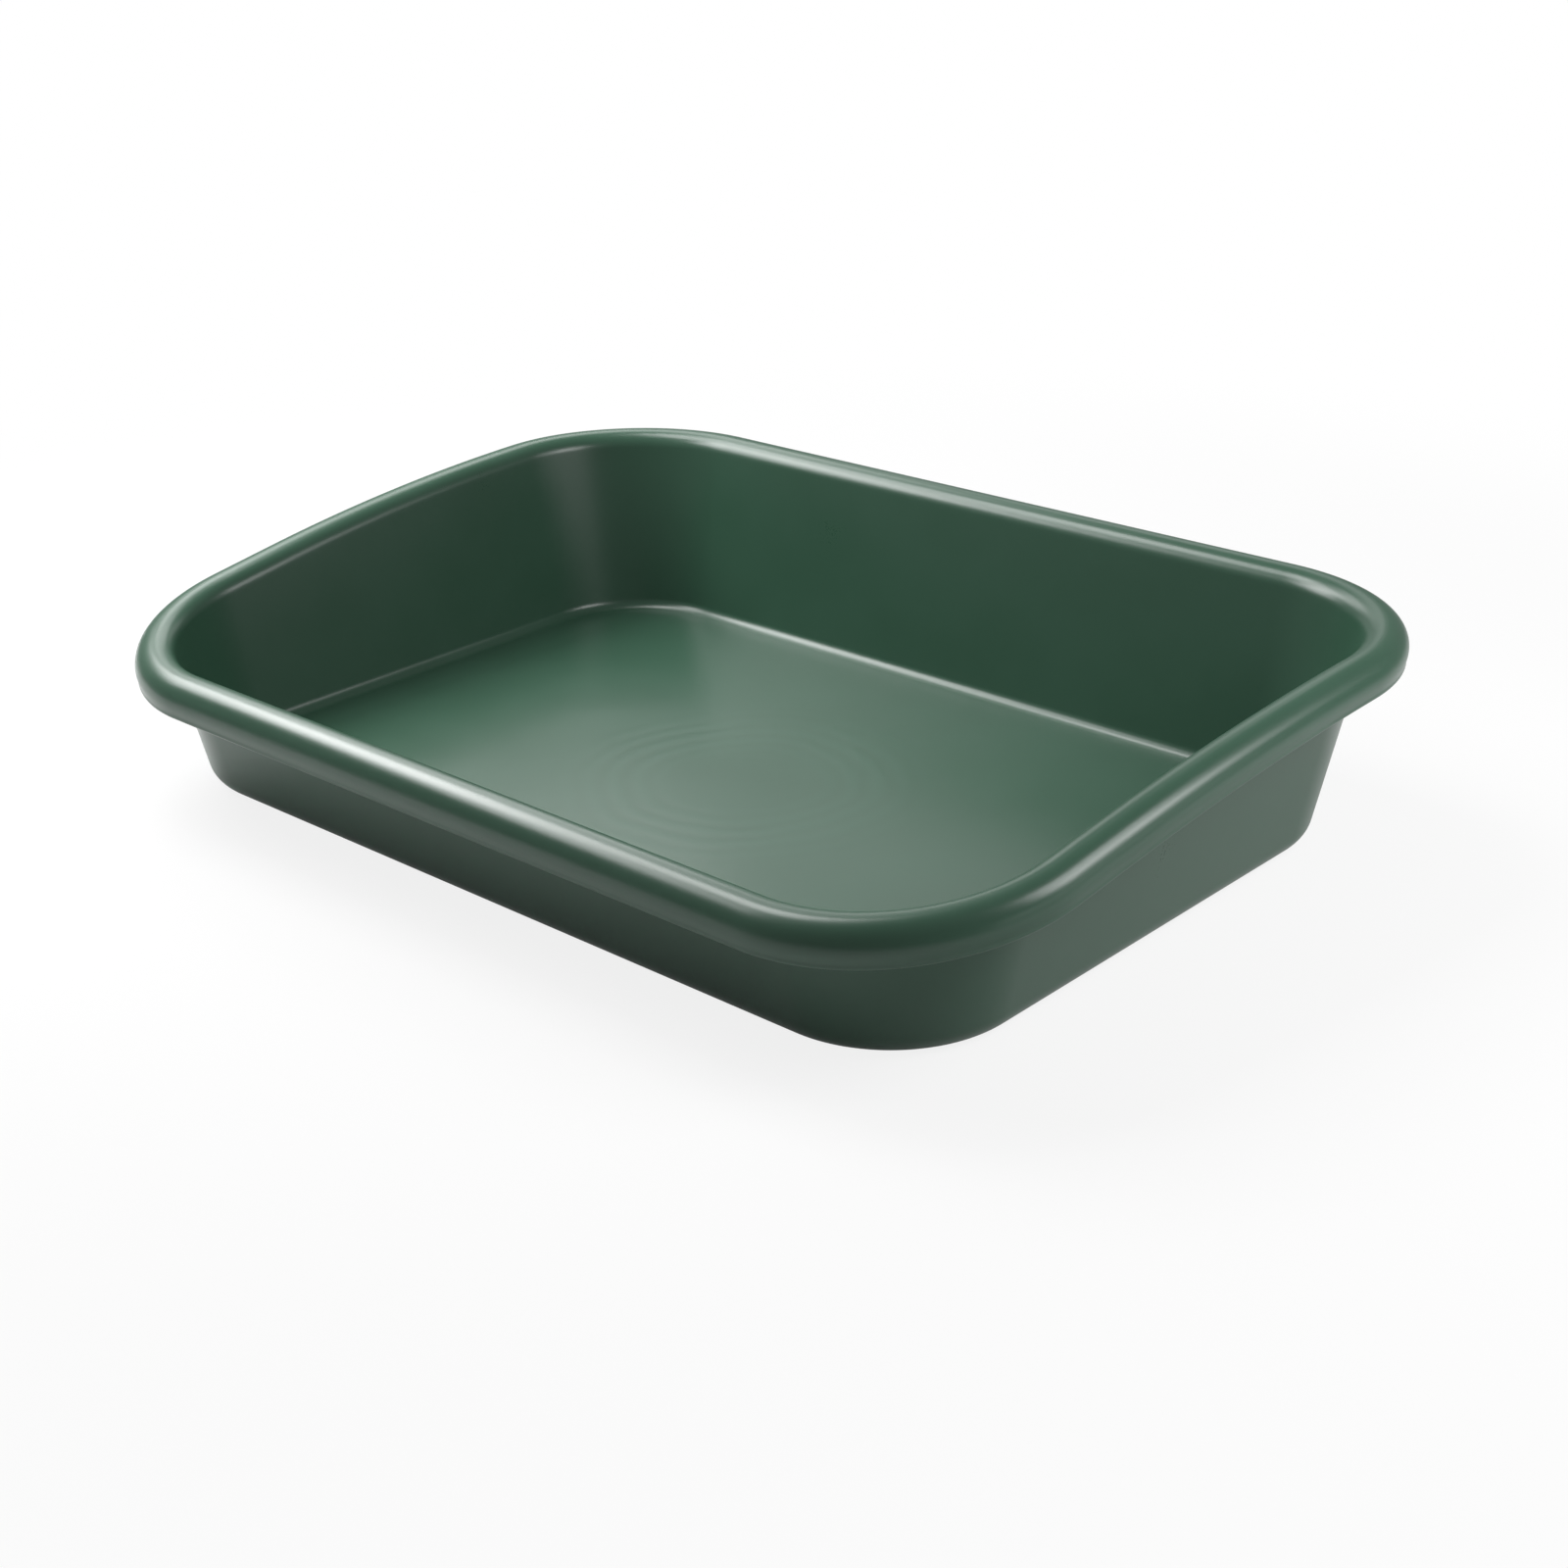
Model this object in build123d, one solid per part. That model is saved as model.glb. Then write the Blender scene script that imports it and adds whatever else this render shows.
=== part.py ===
from build123d import *
import math
import os

# Potting tray: one moulding in green plastic, low at the front where the soil is scraped
# over the edge and high at the back. It is built with the middle of its floor over the
# origin, and then moved so that the origin is on the bench under the middle of its whole
# plan. X runs along the long sides, the high long side is at +Y, and Z points up.
# Lengths are in millimetres and angles in degrees.

# Body: the outside of the walls, where their leaning faces meet the bench
base_length = 484.0
base_depth = 330.0
base_corner_radius = 60.0
draft_angle = 12.0
wall_thickness = 2.5
outer_bottom_radius = 12.0
inner_bottom_radius = 6.5

# Floor: a flat panel that stands off the bench inside a flat foot ring
floor_thickness = 2.5
floor_raise = 3.0
foot_width = 5.0
foot_edge_radius = 1.0
gate_mark_radius = 5.0
gate_mark_height = 0.8

# Rim: a round roll with a skirt that hangs parallel to the walls, hollow underneath. The
# roll's inner and outer rounds leave a narrow crown between them, and the skirt's outer face
# leaves the outer round just below its widest line. The top is a straight ramp from the front
# edge, then a long bend into a level back. The ramp would meet the level back at a share of the
# rim's depth, and the bend takes up a share of the level part.
rim_height_front = 69.0
rim_height_back = 104.5
ramp_share = 0.58
bend_share = 0.635
rim_reach = 16.5
crown_width = 1.0
rim_drop = 17.0
lip_radius = 1.0

# Solids that only cut reach past what they cut by this much
overrun = 20.0

# A face counts as level when its normal's upright share is more than this
facing_share = 0.9

# Worked out from the sizes above
lean = math.tan(math.radians(draft_angle))
wall_inset = wall_thickness / math.cos(math.radians(draft_angle))
floor_top = floor_raise + floor_thickness
inner_round_share = math.tan(math.radians((90 - draft_angle) / 2))
roll_radius = (wall_inset + rim_reach - crown_width) / (1 + inner_round_share)
skirt_reach_share = lean + 1 / math.cos(math.radians(draft_angle)) - 1
skirt_reach = rim_reach + roll_radius * skirt_reach_share
block_height = rim_height_back + overrun
cutter_length = base_length + 2 * (lean * rim_height_back + rim_reach + overrun)
rim_front_y = -(base_depth / 2 + lean * rim_height_front + rim_reach)
rim_back_y = base_depth / 2 + lean * rim_height_back + rim_reach
rim_depth = rim_back_y - rim_front_y
ramp_end_y = rim_front_y + ramp_share * rim_depth
ramp_slope = (rim_height_back - rim_height_front) / (ramp_share * rim_depth)
bend_run = bend_share * (1 - ramp_share) * rim_depth
rim_bend_radius = bend_run / math.tan(math.atan(ramp_slope) / 2)
plan_middle_y = (rim_front_y + rim_back_y) / 2


def leaning_block(inset, bottom):
    """Solid block from bottom upwards, its sides parallel to the walls, inset from their outer faces."""
    spread = lean * block_height - inset
    plan = RectangleRounded(
        base_length + 2 * spread,
        base_depth + 2 * spread,
        base_corner_radius + spread,
    )
    block = extrude(plan, block_height - bottom, taper=draft_angle)
    return Pos(0, 0, block_height) * mirror(block, about=Plane.XY)


def under_the_rim(drop):
    """Everything below the rim's top surface when that surface is lowered by drop."""
    front_y = rim_front_y - overrun
    back_y = rim_back_y + overrun
    ramp_start = (0, front_y, rim_height_front - overrun * ramp_slope - drop)
    ramp_end = (0, ramp_end_y, rim_height_back - drop)
    level_end = (0, back_y, rim_height_back - drop)
    roof = FilletPolyline(ramp_start, ramp_end, level_end, radius=rim_bend_radius)
    sides = Polyline(level_end, (0, back_y, -overrun), (0, front_y, -overrun), ramp_start)
    return extrude(make_face(roof + sides), cutter_length / 2, both=True)


def border(faces):
    """The edges that go round a group of joined faces: those that belong to one of them only."""
    edges = [edge for face in faces for edge in face.edges()]
    return [edge for edge in edges if sum(edge.is_same(other) for other in edges) == 1]


def level_faces(solid, facing):
    """The faces at the rim that look up, facing 1, or down, facing -1."""
    faces = [face for face in solid.faces() if facing * face.normal_at().Z > facing_share]
    return [face for face in faces if face.center().Z > rim_height_front / 2]


def roll_block(inset, depth):
    """Upright block on the rim's plan, inset from the rim's widest line, from the rim's top down by depth.

    The plan is the line where the walls' outer faces, moved out by the rim's reach, would meet the rim's top."""
    leaning = leaning_block(inset - rim_reach, 0) & under_the_rim(0)
    blocks = [extrude(face, depth, dir=(0, 0, -1)) for face in level_faces(leaning, 1)]
    return blocks[0] + blocks[1:]


def walls_and_rim():
    """The walls and floor as one thick basin under the rim's top surface, with a solid rim."""
    basin = leaning_block(0, 0)
    basin = fillet(basin.edges().group_by(Axis.Z)[0], outer_bottom_radius)
    inside = leaning_block(wall_inset, floor_top)
    inside = fillet(inside.edges().group_by(Axis.Z)[0], inner_bottom_radius)
    body = (basin & under_the_rim(0)) + roll_block(0, rim_drop) - inside
    body = fillet(border(level_faces(body, 1)), roll_radius)
    return body & leaning_block(-skirt_reach, 0)


def rim_hollow():
    """The space under the rolled rim, between the walls' outer faces and the skirt."""
    block = roll_block(wall_thickness, rim_drop + overrun) & under_the_rim(wall_thickness)
    hollow = block - leaning_block(0, 0)
    hollow = fillet(border(level_faces(hollow, 1)), roll_radius - wall_thickness)
    return hollow & leaning_block(wall_inset - skirt_reach, 0)


def foot_recess():
    """The shallow space under the floor panel, inside the foot ring."""
    inset = outer_bottom_radius + foot_width
    plan = RectangleRounded(
        base_length - 2 * inset, base_depth - 2 * inset, base_corner_radius - inset
    )
    recess = extrude(plan, floor_raise)
    return fillet(recess.edges().group_by(Axis.Z)[-1], foot_edge_radius)


def gate_mark():
    """The low round stub under the floor's middle, where the plastic entered the mould."""
    stub = extrude(Circle(gate_mark_radius), gate_mark_height)
    return Pos(0, 0, floor_raise - gate_mark_height) * stub


def potting_tray():
    """The whole moulding, with the skirt's lower lip rounded."""
    tray = walls_and_rim() - rim_hollow() - foot_recess() + gate_mark()
    lower_half = under_the_rim((rim_drop + wall_thickness) / 2)
    lip = [face for face in level_faces(tray, -1) if lower_half.is_inside(face.center())]
    return fillet(border(lip), lip_radius)


os.makedirs("parts", exist_ok=True)
export_step(Pos(0, -plan_middle_y, 0) * potting_tray(), "parts/potting_tray.step")
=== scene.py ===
import math

import bpy
import numpy as np
from mathutils import Matrix, Vector


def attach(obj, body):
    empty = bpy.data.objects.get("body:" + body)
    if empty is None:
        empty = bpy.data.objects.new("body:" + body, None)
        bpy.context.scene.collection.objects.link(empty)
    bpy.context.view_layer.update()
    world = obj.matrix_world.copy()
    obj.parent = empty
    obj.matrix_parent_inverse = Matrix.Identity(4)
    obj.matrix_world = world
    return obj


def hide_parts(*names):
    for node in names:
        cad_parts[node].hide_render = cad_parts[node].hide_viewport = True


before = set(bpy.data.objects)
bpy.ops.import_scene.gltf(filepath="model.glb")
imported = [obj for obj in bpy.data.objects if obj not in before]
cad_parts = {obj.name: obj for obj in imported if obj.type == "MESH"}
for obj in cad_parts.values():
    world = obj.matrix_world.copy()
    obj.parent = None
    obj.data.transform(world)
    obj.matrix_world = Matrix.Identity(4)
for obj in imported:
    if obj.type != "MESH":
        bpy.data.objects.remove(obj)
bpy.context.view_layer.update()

# The tray: one injection moulding in dark green polypropylene. The floor, the leaning walls
# and the rolled rim with its skirt are one skin, about 2.5 mm thick, made in one shot
# through a gate under the middle of the floor.

base_half_length = 0.242
base_half_depth = 0.165
base_corner_radius = 0.060
wall_lean = math.radians(12.0)
wall_thickness = 0.0025
outer_bottom_radius = 0.012
inner_bottom_radius = 0.0065
floor_top = 0.0055
floor_underside = 0.003
foot_inset = 0.017
foot_edge_radius = 0.001
gate_radius = 0.005
gate_height = 0.0008

rim_height_front = 0.069
rim_height_back = 0.1045
rim_reach = 0.0165
crown_width = 0.001
rim_drop = 0.017
lip_radius = 0.001
lip_flare = 0.0003
flare_height = 0.0016
ramp_share = 0.58
bend_share = 0.635

lean = math.tan(wall_lean)
wall_inset = wall_thickness / math.cos(wall_lean)
inner_round_share = math.tan((math.pi / 2 - wall_lean) / 2)
roll_radius = (wall_inset + rim_reach - crown_width) / (1 + inner_round_share)
skirt_reach = rim_reach + roll_radius * (lean + 1 / math.cos(wall_lean) - 1)
rim_front_y = -(base_half_depth + lean * rim_height_front + rim_reach)
rim_back_y = base_half_depth + lean * rim_height_back + rim_reach
rim_depth = rim_back_y - rim_front_y
middle_y = (rim_front_y + rim_back_y) / 2
ramp_slope = (rim_height_back - rim_height_front) / (ramp_share * rim_depth)
bend_run = bend_share * (1 - ramp_share) * rim_depth
bend_radius = bend_run / math.tan(math.atan(ramp_slope) / 2)
bend_end_y = rim_front_y + ramp_share * rim_depth + bend_run
bend_start_y = bend_end_y - bend_radius * math.sin(math.atan(ramp_slope))


def rim_top(y):
    """Height of the rim's top at y: a straight ramp, then an arc that ends level."""
    ramp = rim_height_front + ramp_slope * (y - rim_front_y)
    run = np.clip(bend_end_y - y, 0, bend_radius)
    arc = rim_height_back - bend_radius + np.sqrt(bend_radius**2 - run**2)
    return np.where(y < bend_start_y, ramp, arc)


def stations(corner_steps=44, long_steps=30, short_steps=26):
    """Stops round the tray's plan, as arrays: the corner centre each one turns about, or the point
    between two centres that it passes on a straight side, and the direction it faces."""
    centre_x = base_half_length - base_corner_radius
    centre_y = base_half_depth - base_corner_radius
    centres = np.array([(1, 1), (-1, 1), (-1, -1), (1, -1)]) * (centre_x, centre_y)
    spots, facings = [], []
    for quarter in range(4):
        turn = (quarter + np.arange(corner_steps + 1) / corner_steps) * math.pi / 2
        spots.append(np.repeat(centres[quarter : quarter + 1], len(turn), 0))
        facings.append(turn)
        steps = short_steps if quarter % 2 else long_steps
        share = (np.arange(1, steps) / steps)[:, None]
        spots.append(centres[quarter] * (1 - share) + centres[(quarter + 1) % 4] * share)
        facings.append(np.full(steps - 1, turn[-1]))
    return np.concatenate(spots), np.concatenate(facings)


def arc(radius, start, end, steps):
    """Points on a quarter or less of a circle round (0, 0), as columns across and up; angles in degrees."""
    angle = np.radians(np.linspace(start, end, steps + 1))
    return np.stack([radius * np.cos(angle), radius * np.sin(angle)], 1)


def skin_profile():
    """The skin's cross-section, from the inside floor's edge over the rim to the foot's inner edge.

    Each row is (out, drop, low, climb, hang). A point's height is low for climb 0, the rim's top less
    drop for climb 1, and a mix between. Out is its distance from the wall's outer face at its own
    height, or with hang 1 from where that face would be at the height of the rim's top."""
    rows = []

    def add(out, drop, low=0.0, climb=1.0, hang=0.0):
        rows.append((out, drop, low, climb, hang))

    # Inner fillet, from the floor up to the leaning wall
    turn = 90 - math.degrees(wall_lean)
    tangent = inner_bottom_radius * inner_round_share
    for across, up in arc(inner_bottom_radius, -90, -90 + turn, 14):
        height = floor_top + inner_bottom_radius + up
        from_corner = lean * floor_top - wall_inset - tangent + across
        add(from_corner - lean * height, 0, height, 0)
    wall_foot = floor_top + inner_bottom_radius * (1 - math.sin(wall_lean))
    roll_end = roll_radius * (1 - math.sin(wall_lean))
    # Inner wall, straight up to the roll
    for climb in (0.02, 0.06, 0.2, 0.4, 0.6, 0.8, 0.94, 0.98):
        add(-wall_inset, roll_end, wall_foot, climb)
    # The roll: its inner arc, the level top, and its outer arc down to the skirt
    middle = -wall_inset + roll_radius * inner_round_share
    outer_middle = rim_reach - roll_radius
    for across, up in arc(roll_radius, 90 + turn, 90, 16):
        drop = roll_radius - up
        add(middle + across + lean * drop, drop)
    for share in (0.08, 0.3, 0.7, 0.92):
        add(middle + share * (outer_middle - middle), 0)
    for across, up in arc(roll_radius, 90, turn - 90, 20):
        add(outer_middle + across, roll_radius - up, hang=1)
    # The skirt, its small flare outwards, and the lip round its lower edge
    skirt_start = roll_radius * (1 + math.sin(wall_lean))
    flare_start = rim_drop - lip_radius - flare_height
    for share in (0.1, 0.5, 0.9):
        add(skirt_reach, skirt_start + share * (flare_start - skirt_start))
    for share in (0.1, 0.3, 0.5, 0.7, 0.9):
        swell = share * share * (3 - 2 * share)
        add(skirt_reach + swell * lip_flare, flare_start + share * flare_height)
    for across, up in arc(lip_radius, 0, -90, 6):
        add(skirt_reach + lip_flare - lip_radius + across, rim_drop - lip_radius - up)
    for across, up in arc(lip_radius, -90, -180, 6):
        add(skirt_reach - wall_inset + lip_radius + across, rim_drop - lip_radius - up)
    # Up the inside of the skirt, over the hollow's ceiling, and down to the wall's outer face
    hollow_radius = roll_radius - wall_thickness
    hollow_out = skirt_reach - wall_inset
    hollow_start = roll_radius + hollow_radius * math.sin(wall_lean)
    for share in (0.95, 0.5, 0.05):
        add(hollow_out, hollow_start + share * (rim_drop - lip_radius - hollow_start))
    for across, up in arc(hollow_radius, turn - 90, 90, 9):
        add(outer_middle + across, roll_radius - up, hang=1)
    middle = hollow_radius * inner_round_share
    for across, up in arc(hollow_radius, 90, 90 + turn, 8):
        drop = wall_thickness + hollow_radius - up
        add(middle + across + lean * (drop - wall_thickness), drop)
    hollow_end = wall_thickness + hollow_radius * (1 - math.sin(wall_lean))
    # Down the wall's outer face and round the bottom fillet to the foot ring
    wall_foot = outer_bottom_radius * (1 - math.sin(wall_lean))
    for climb in (0.97, 0.9, 0.75, 0.6, 0.45, 0.3, 0.15, 0.05, 0.015):
        add(0, hollow_end, wall_foot, climb)
    tangent = outer_bottom_radius * inner_round_share
    for across, up in arc(outer_bottom_radius, -90 + turn, -90, 14):
        height = outer_bottom_radius + up
        add(across - tangent - lean * height, 0, height, 0)
    # The foot ring's flat, its inner edge, and the step up to the panel under the floor
    edge = 0.0003
    add(-tangent - 0.0005, 0, 0, 0)
    for across, up in arc(edge, 90, 180, 4):
        height = edge - up
        add(-foot_inset + edge + across - lean * height, 0, height, 0)
    for height in (edge + 0.0001, floor_underside - foot_edge_radius - 0.0001):
        add(-foot_inset - lean * height, 0, height, 0)
    for across, up in arc(foot_edge_radius, 0, 90, 5):
        height = floor_underside - foot_edge_radius + up
        add(-foot_inset - foot_edge_radius + across - lean * height, 0, height, 0)
    return np.array(rows)


def skin_rings():
    """Every ring of the skin as an array [ring, stop, xyz]: the corner radius and the straight sides
    both grow with a point's distance from the outer face at the bench, so a ring is that distance
    out from the base outline. On the rim the height depends on y, and settles in a few rounds."""
    spots, facings = stations()
    out, drop, low, climb, hang = skin_profile().T[:, :, None]
    toward = np.stack([np.cos(facings), np.sin(facings)], 1)
    top = np.full((len(out), len(facings)), rim_height_back)
    for _ in range(8):
        height = (1 - climb) * low + climb * (top - drop)
        spread = out + lean * (height + hang * drop)
        plan = spots + (base_corner_radius + spread)[..., None] * toward
        top = rim_top(plan[..., 1])
    return np.concatenate([plan, height[..., None]], 2)


def panel(edge, shares, height, around=0.0):
    """Rings that shrink from an edge ring to the middle: each keeps a share of the edge's way out, and
    turns from the edge's form into a circle of radius around as it shrinks."""
    flat = edge[:, :2]
    reach = np.linalg.norm(flat, axis=1)[:, None]
    rings = []
    for share in shares:
        form = flat * share
        if around:
            form = form + (flat / reach * around - form) * (1 - share) ** 2
        rings.append(np.concatenate([form, np.full((len(form), 1), height)], 1))
    return rings


def closed_skin(name):
    """The skin as one closed mesh: the rings in order, quads between neighbours, and a fan to a
    middle point at each end."""
    skin = skin_rings()
    inside = panel(skin[0], (0.02, 0.08, 0.2, 0.35, 0.5, 0.65, 0.8, 0.9, 0.96, 0.99), floor_top)
    under = panel(skin[-1], (0.99, 0.95, 0.8, 0.6, 0.4, 0.2, 0.08), floor_underside, 0.012)
    around = skin[-1][:, :2] / np.linalg.norm(skin[-1][:, :2], axis=1)[:, None]
    stub = ((1.35, 0), (1.08, 0), (1.02, 0.06), (1, 0.2), (1, 0.8), (0.97, 0.96), (0.9, 1), (0.3, 1))
    for radius, rise in stub:
        height = np.full((len(around), 1), floor_underside - rise * gate_height)
        under.append(np.concatenate([around * radius * gate_radius, height], 1))
    rings = np.concatenate([inside, skin, under])
    count = rings.shape[1]
    points = rings.reshape(-1, 3)
    here = np.arange(count)
    after = (here + 1) % count
    row = np.arange(len(rings) - 1)[:, None] * count
    quads = np.stack([row + here, row + count + here, row + count + after, row + after], 2)
    ends = np.array([(0, 0, floor_top), (0, 0, floor_underside - gate_height)])
    points = np.concatenate([points, ends])
    first, last = len(points) - 2, len(points) - 1
    tail = (len(rings) - 1) * count
    fans = [(first, a, b) for a, b in zip(here.tolist(), after.tolist())]
    fans += [(last, tail + b, tail + a) for a, b in zip(here.tolist(), after.tolist())]
    points[:, 1] -= middle_y
    mesh = bpy.data.meshes.new(name)
    mesh.from_pydata(points.tolist(), [], quads.reshape(-1, 4).tolist() + fans)
    mesh.polygons.foreach_set("use_smooth", [True] * len(mesh.polygons))
    mesh.update()
    return mesh


class Shading:
    """A material's nodes. node() adds one: its settings are set first, then its sockets' values or links."""

    def __init__(self, tree):
        self.tree = tree

    def node(self, kind, settings=None, sockets=None, output=0):
        made = self.tree.nodes.new("ShaderNode" + kind)
        for name, value in (settings or {}).items():
            setattr(made, name, value)
        for name, value in (sockets or {}).items():
            self.feed(made.inputs[name], value)
        return Signal(self, made.outputs[output])

    def feed(self, socket, value):
        if isinstance(value, Signal):
            self.tree.links.new(value.socket, socket)
        else:
            socket.default_value = value

    def blend(self, share, first, second):
        """A colour that goes from first to second as share goes from 0 to 1."""
        colours = {"data_type": "RGBA"}
        return self.node("Mix", colours, {0: share, 6: first, 7: second}, 2)


class Signal:
    """One node's output. Arithmetic on it adds Math nodes."""

    def __init__(self, shading, socket):
        self.shading, self.socket = shading, socket

    def math(self, operation, *values):
        sockets = dict(enumerate((self, *values)))
        return self.shading.node("Math", {"operation": operation}, sockets)

    def __add__(self, other):
        return self.math("ADD", other)

    def __sub__(self, other):
        return self.math("SUBTRACT", other)

    def __rsub__(self, other):
        return self.shading.node("Math", {"operation": "SUBTRACT"}, {0: other, 1: self})

    def __mul__(self, other):
        return self.math("MULTIPLY", other)

    def __pow__(self, other):
        return self.math("POWER", other)

    __radd__ = __add__

    def between(self, low, high):
        """0 below low, 1 above high, and a smooth step between."""
        sockets = {"Value": self, "From Min": low, "From Max": high}
        return self.shading.node("MapRange", {"interpolation_type": "SMOOTHSTEP"}, sockets)


green = (0.034, 0.088, 0.055, 1)
pale_green = (0.044, 0.104, 0.069, 1)


def moulded_plastic():
    """Satin polypropylene: a fine grain from the mould, faint mottling, rings of flow marks round the
    gate, and light scuffs on the floor from handling."""
    material = bpy.data.materials.new("moulded_polypropylene")
    material.use_nodes = True
    nodes = Shading(material.node_tree)
    shader = material.node_tree.nodes["Principled BSDF"]
    place = nodes.node("TexCoord", output=3)
    across = nodes.node("SeparateXYZ", None, {0: place}, 0)
    along = nodes.node("SeparateXYZ", None, {0: place}, 1)
    upward = nodes.node("SeparateXYZ", None, {0: place}, 2)
    noise = {"noise_dimensions": "3D"}
    mottle = nodes.node("TexNoise", noise, {"Vector": place, "Scale": 22.0, "Detail": 3.0})
    cloud = nodes.node("TexNoise", noise, {"Vector": place, "Scale": 6.0, "Detail": 2.0})
    grain = nodes.node("TexNoise", noise, {"Vector": place, "Scale": 1500.0, "Detail": 2.0})
    ripple = nodes.node("TexNoise", noise, {"Vector": place, "Scale": 55.0, "Detail": 1.0})
    # Rings round the gate, strongest about 60 mm out and gone by 110 mm
    out = (across * across + (along + middle_y) * (along + middle_y)) ** 0.5
    bent = out + (cloud - 0.5) * 0.03 + (mottle - 0.5) * 0.006
    rings = (bent * 520.0).math("SINE") * 0.5 + 0.5
    near_gate = out.between(0.02, 0.058) * (1 - out.between(0.062, 0.11))
    on_floor = 1 - upward.between(floor_top + 0.0005, floor_top + 0.002)
    marks = rings * near_gate * on_floor
    # Scuffs: thin lines where a stretched noise crosses its middle value
    stretch = {"Vector": place, "Rotation": (0, 0, 0.5), "Scale": (14, 160, 14)}
    stretched = nodes.node("Mapping", {"vector_type": "POINT"}, stretch)
    streak = nodes.node("TexNoise", noise, {"Vector": stretched, "Scale": 1.0, "Detail": 2.0})
    thin = 1 - (streak - 0.5).math("ABSOLUTE").between(0.0, 0.004)
    scuffs = thin * mottle.between(0.52, 0.7) * on_floor
    tone = cloud.between(0.3, 0.7) * 0.35 + mottle.between(0.35, 0.65) * 0.2
    tone = tone + marks * 0.6 + scuffs * 0.6
    colour = nodes.blend(tone, green, pale_green)
    roughness = 0.25 + mottle * 0.05 + grain * 0.03 + marks * 0.03 + scuffs * 0.12
    nodes.feed(shader.inputs["Base Color"], colour)
    nodes.feed(shader.inputs["Roughness"], roughness)
    shader.inputs["IOR"].default_value = 1.5
    height = grain * 0.000004 + ripple * 0.00006 + marks * 0.00005 - scuffs * 0.000008
    bump = nodes.node("Bump", None, {"Strength": 0.6, "Distance": 1.0, "Height": height})
    nodes.feed(shader.inputs["Normal"], bump)
    return material


tray = bpy.data.objects.new("tray_moulding", closed_skin("tray_moulding"))
bpy.context.scene.collection.objects.link(tray)
tray.data.materials.append(moulded_plastic())
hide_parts("potting_tray")
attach(tray, "root")

# The set: a plain white floor and background, soft boxes round the tray, and the camera at
# the photograph's angle. None of it is part of the tray.

set_in_reflections = 0.2
floor_colour = (0.80, 0.80, 0.80, 1)
shadow_reach = (0.35, 0.9)
shadow_share = 0.15
floor_drop = 0.0002
lamp_aim = Vector((0, 0, 0.04))


def shown_white(nodes):
    """How much of the white set a ray sees: all of it from the camera and through clear things, the same
    part of it everywhere in reflections, and none as light."""
    camera_ray = nodes.node("LightPath", output=0)
    glossy_ray = nodes.node("LightPath", output=3)
    transmission_ray = nodes.node("LightPath", output=6)
    return camera_ray.math("MAXIMUM", glossy_ray * set_in_reflections).math("MAXIMUM", transmission_ray)


def white_floor():
    """White floor that keeps the tray's shadow: mostly its own light, the rest what falls on it, and far
    from the tray its own light alone."""
    material = bpy.data.materials.new("white_floor")
    material.use_nodes = True
    nodes = Shading(material.node_tree)
    material.node_tree.nodes.remove(material.node_tree.nodes["Principled BSDF"])
    lit = nodes.node("BsdfDiffuse", None, {"Color": floor_colour})
    glow = nodes.node("Emission", None, {"Color": (1, 1, 1, 1), "Strength": 1.0})
    place = nodes.node("TexCoord", output=3)
    far = nodes.node("VectorMath", {"operation": "LENGTH"}, {0: place}, 1).between(*shadow_reach)
    share = shown_white(nodes) * (far * shadow_share + (1 - shadow_share))
    surface = nodes.node("MixShader", None, {0: share, 1: lit, 2: glow})
    nodes.feed(material.node_tree.nodes["Material Output"].inputs["Surface"], surface)
    return material


reach = 30.0
floor_mesh = bpy.data.meshes.new("floor")
corners = [(-reach, -reach, 0), (reach, -reach, 0), (reach, reach, 0), (-reach, reach, 0)]
floor_mesh.from_pydata(corners, [], [(0, 1, 2, 3)])
floor_mesh.materials.append(white_floor())
floor = bpy.data.objects.new("floor", floor_mesh)
bpy.context.scene.collection.objects.link(floor)
floor.location.z = -floor_drop

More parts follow.
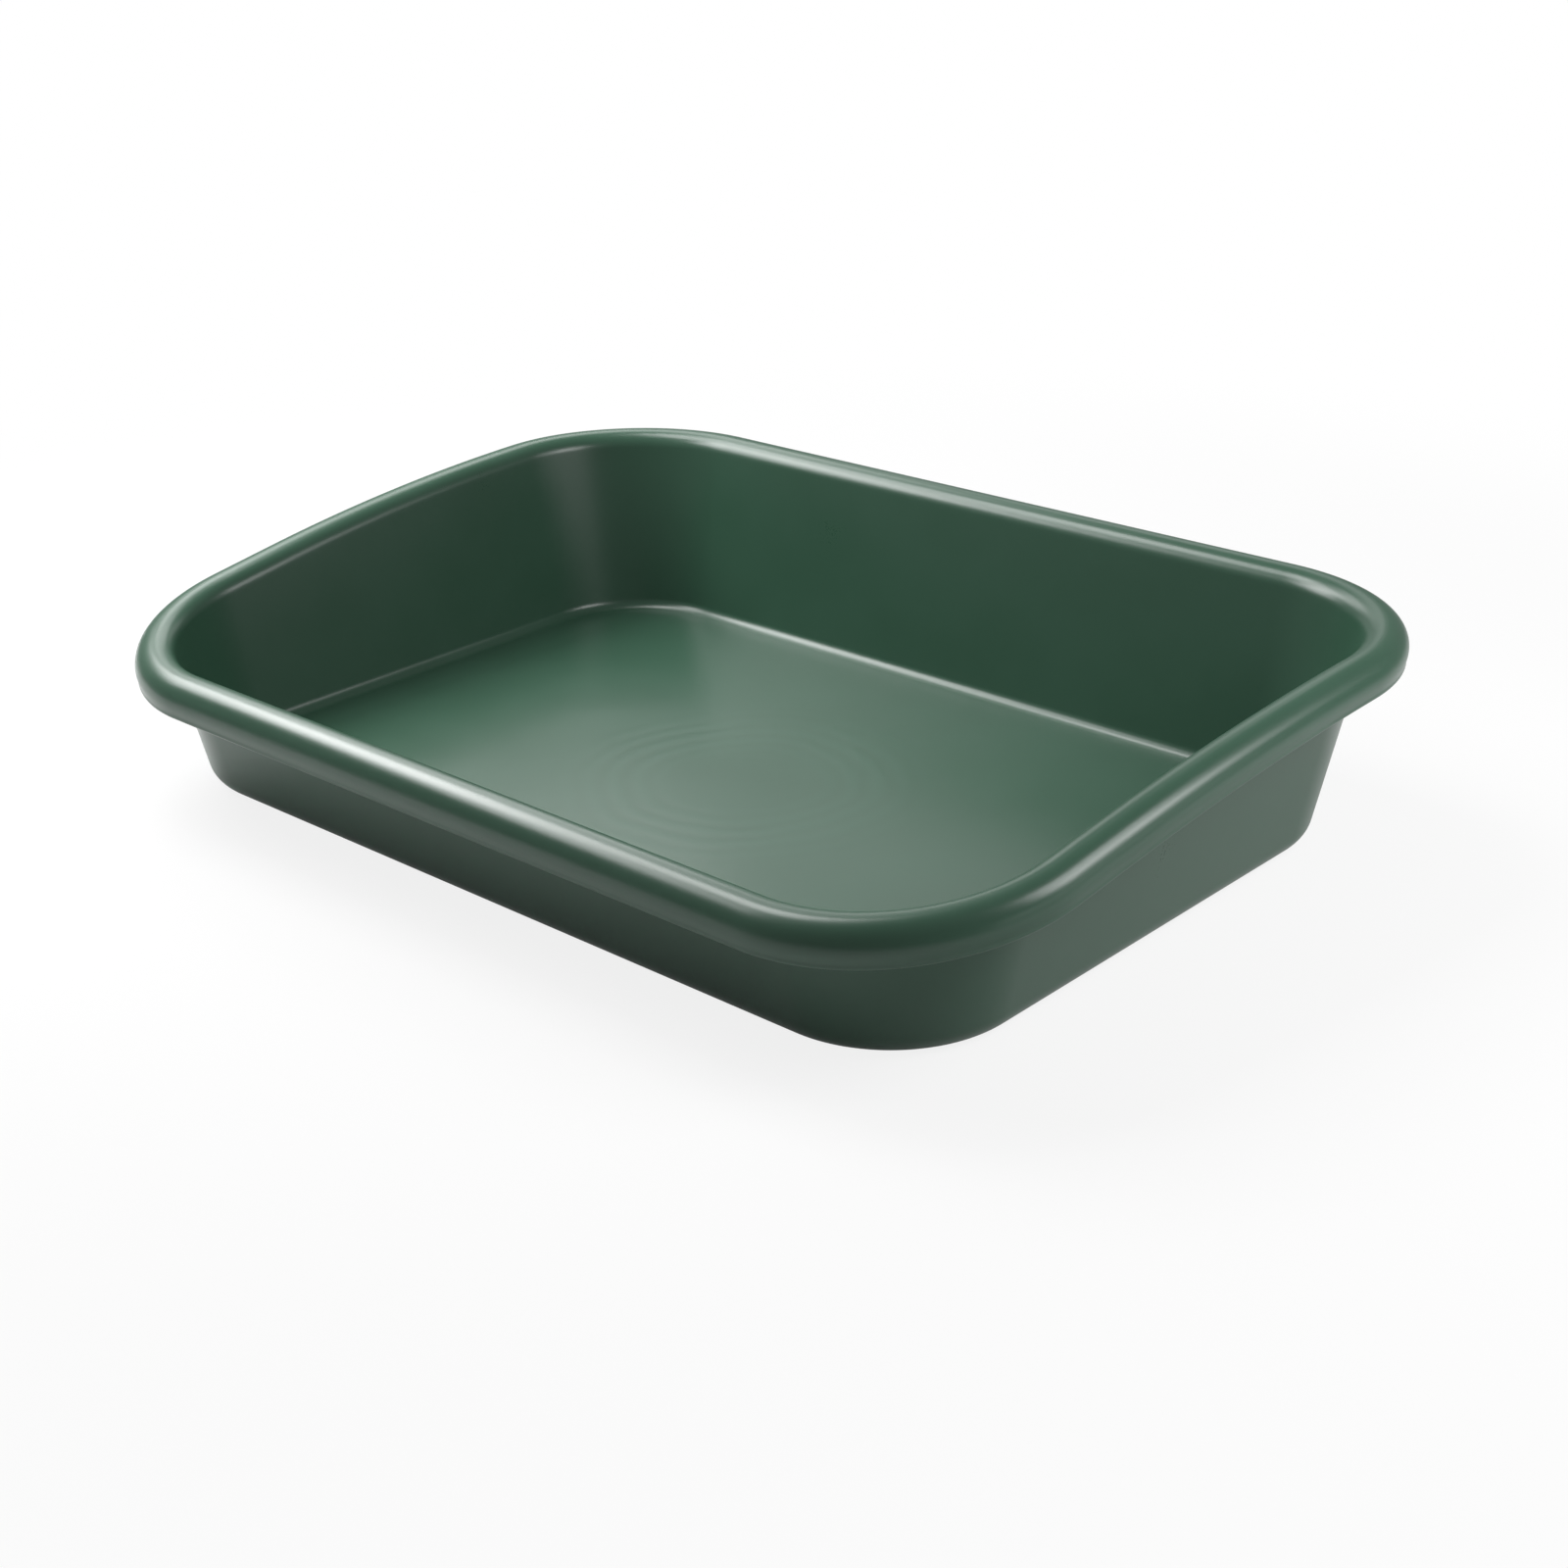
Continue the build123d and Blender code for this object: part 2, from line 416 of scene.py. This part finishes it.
ambient = 0.05
world = bpy.data.worlds.new("studio")
world.use_nodes = True
bpy.context.scene.world = world
air = Shading(world.node_tree)
strength = shown_white(air) * (1 - ambient) + ambient
backdrop = world.node_tree.nodes["Background"]
backdrop.inputs["Color"].default_value = (1, 1, 1, 1)
air.feed(backdrop.inputs["Strength"], strength)


def soft_box(name, azimuth, elevation, distance, width, height, power):
    """A rectangular lamp that faces the tray's middle. Azimuth counts from +X towards +Y."""
    lamp = bpy.data.lights.new(name, "AREA")
    lamp.shape, lamp.size, lamp.size_y, lamp.energy = "RECTANGLE", width, height, power
    light = bpy.data.objects.new(name, lamp)
    around = Matrix.Rotation(math.radians(azimuth), 4, "Z")
    turn = around @ Matrix.Rotation(math.radians(-elevation), 4, "Y")
    light.location = lamp_aim + turn @ Vector((distance, 0, 0))
    light.rotation_euler = (turn @ Vector((1, 0, 0))).to_track_quat("Z", "Y").to_euler()
    light.visible_camera = False
    bpy.context.scene.collection.objects.link(light)


soft_box("key_high", 180, 63, 1.2, 0.50, 0.35, 5.3)
soft_box("key_left", 180, 44, 1.2, 0.50, 0.35, 4.7)
soft_box("key_front", 210, 44, 1.2, 0.50, 0.35, 3.3)
soft_box("key_near", 195, 36, 0.75, 0.35, 0.30, 2.4)
soft_box("fill_right", 15, 36, 0.75, 0.35, 0.30, 2.2)
soft_box("right", 30, 28, 1.2, 0.50, 0.35, 1.8)
soft_box("back_left", 151, 35, 1.2, 0.60, 0.45, 2.7)
soft_box("back", 118, 27, 1.2, 0.55, 0.35, 0.6)
soft_box("right_low", 12, 8, 1.0, 0.90, 0.25, 0.60)

camera_spot = (0.74809, -0.78391, 0.47539)
camera_azimuth, camera_elevation, camera_roll = 42.693, 23.571, -1.167
camera_lens = 55.556

camera_data = bpy.data.cameras.new("camera")
camera_data.sensor_width, camera_data.lens = 36.0, camera_lens
camera = bpy.data.objects.new("camera", camera_data)
heading = Matrix.Rotation(math.radians(camera_azimuth), 4, "Z")
tilt = Matrix.Rotation(math.radians(90 - camera_elevation), 4, "X")
roll = Matrix.Rotation(math.radians(camera_roll), 4, "Z")
camera.matrix_world = Matrix.Translation(camera_spot) @ heading @ tilt @ roll
bpy.context.scene.collection.objects.link(camera)
bpy.context.scene.camera = camera
bpy.context.scene.view_settings.view_transform = "Standard"
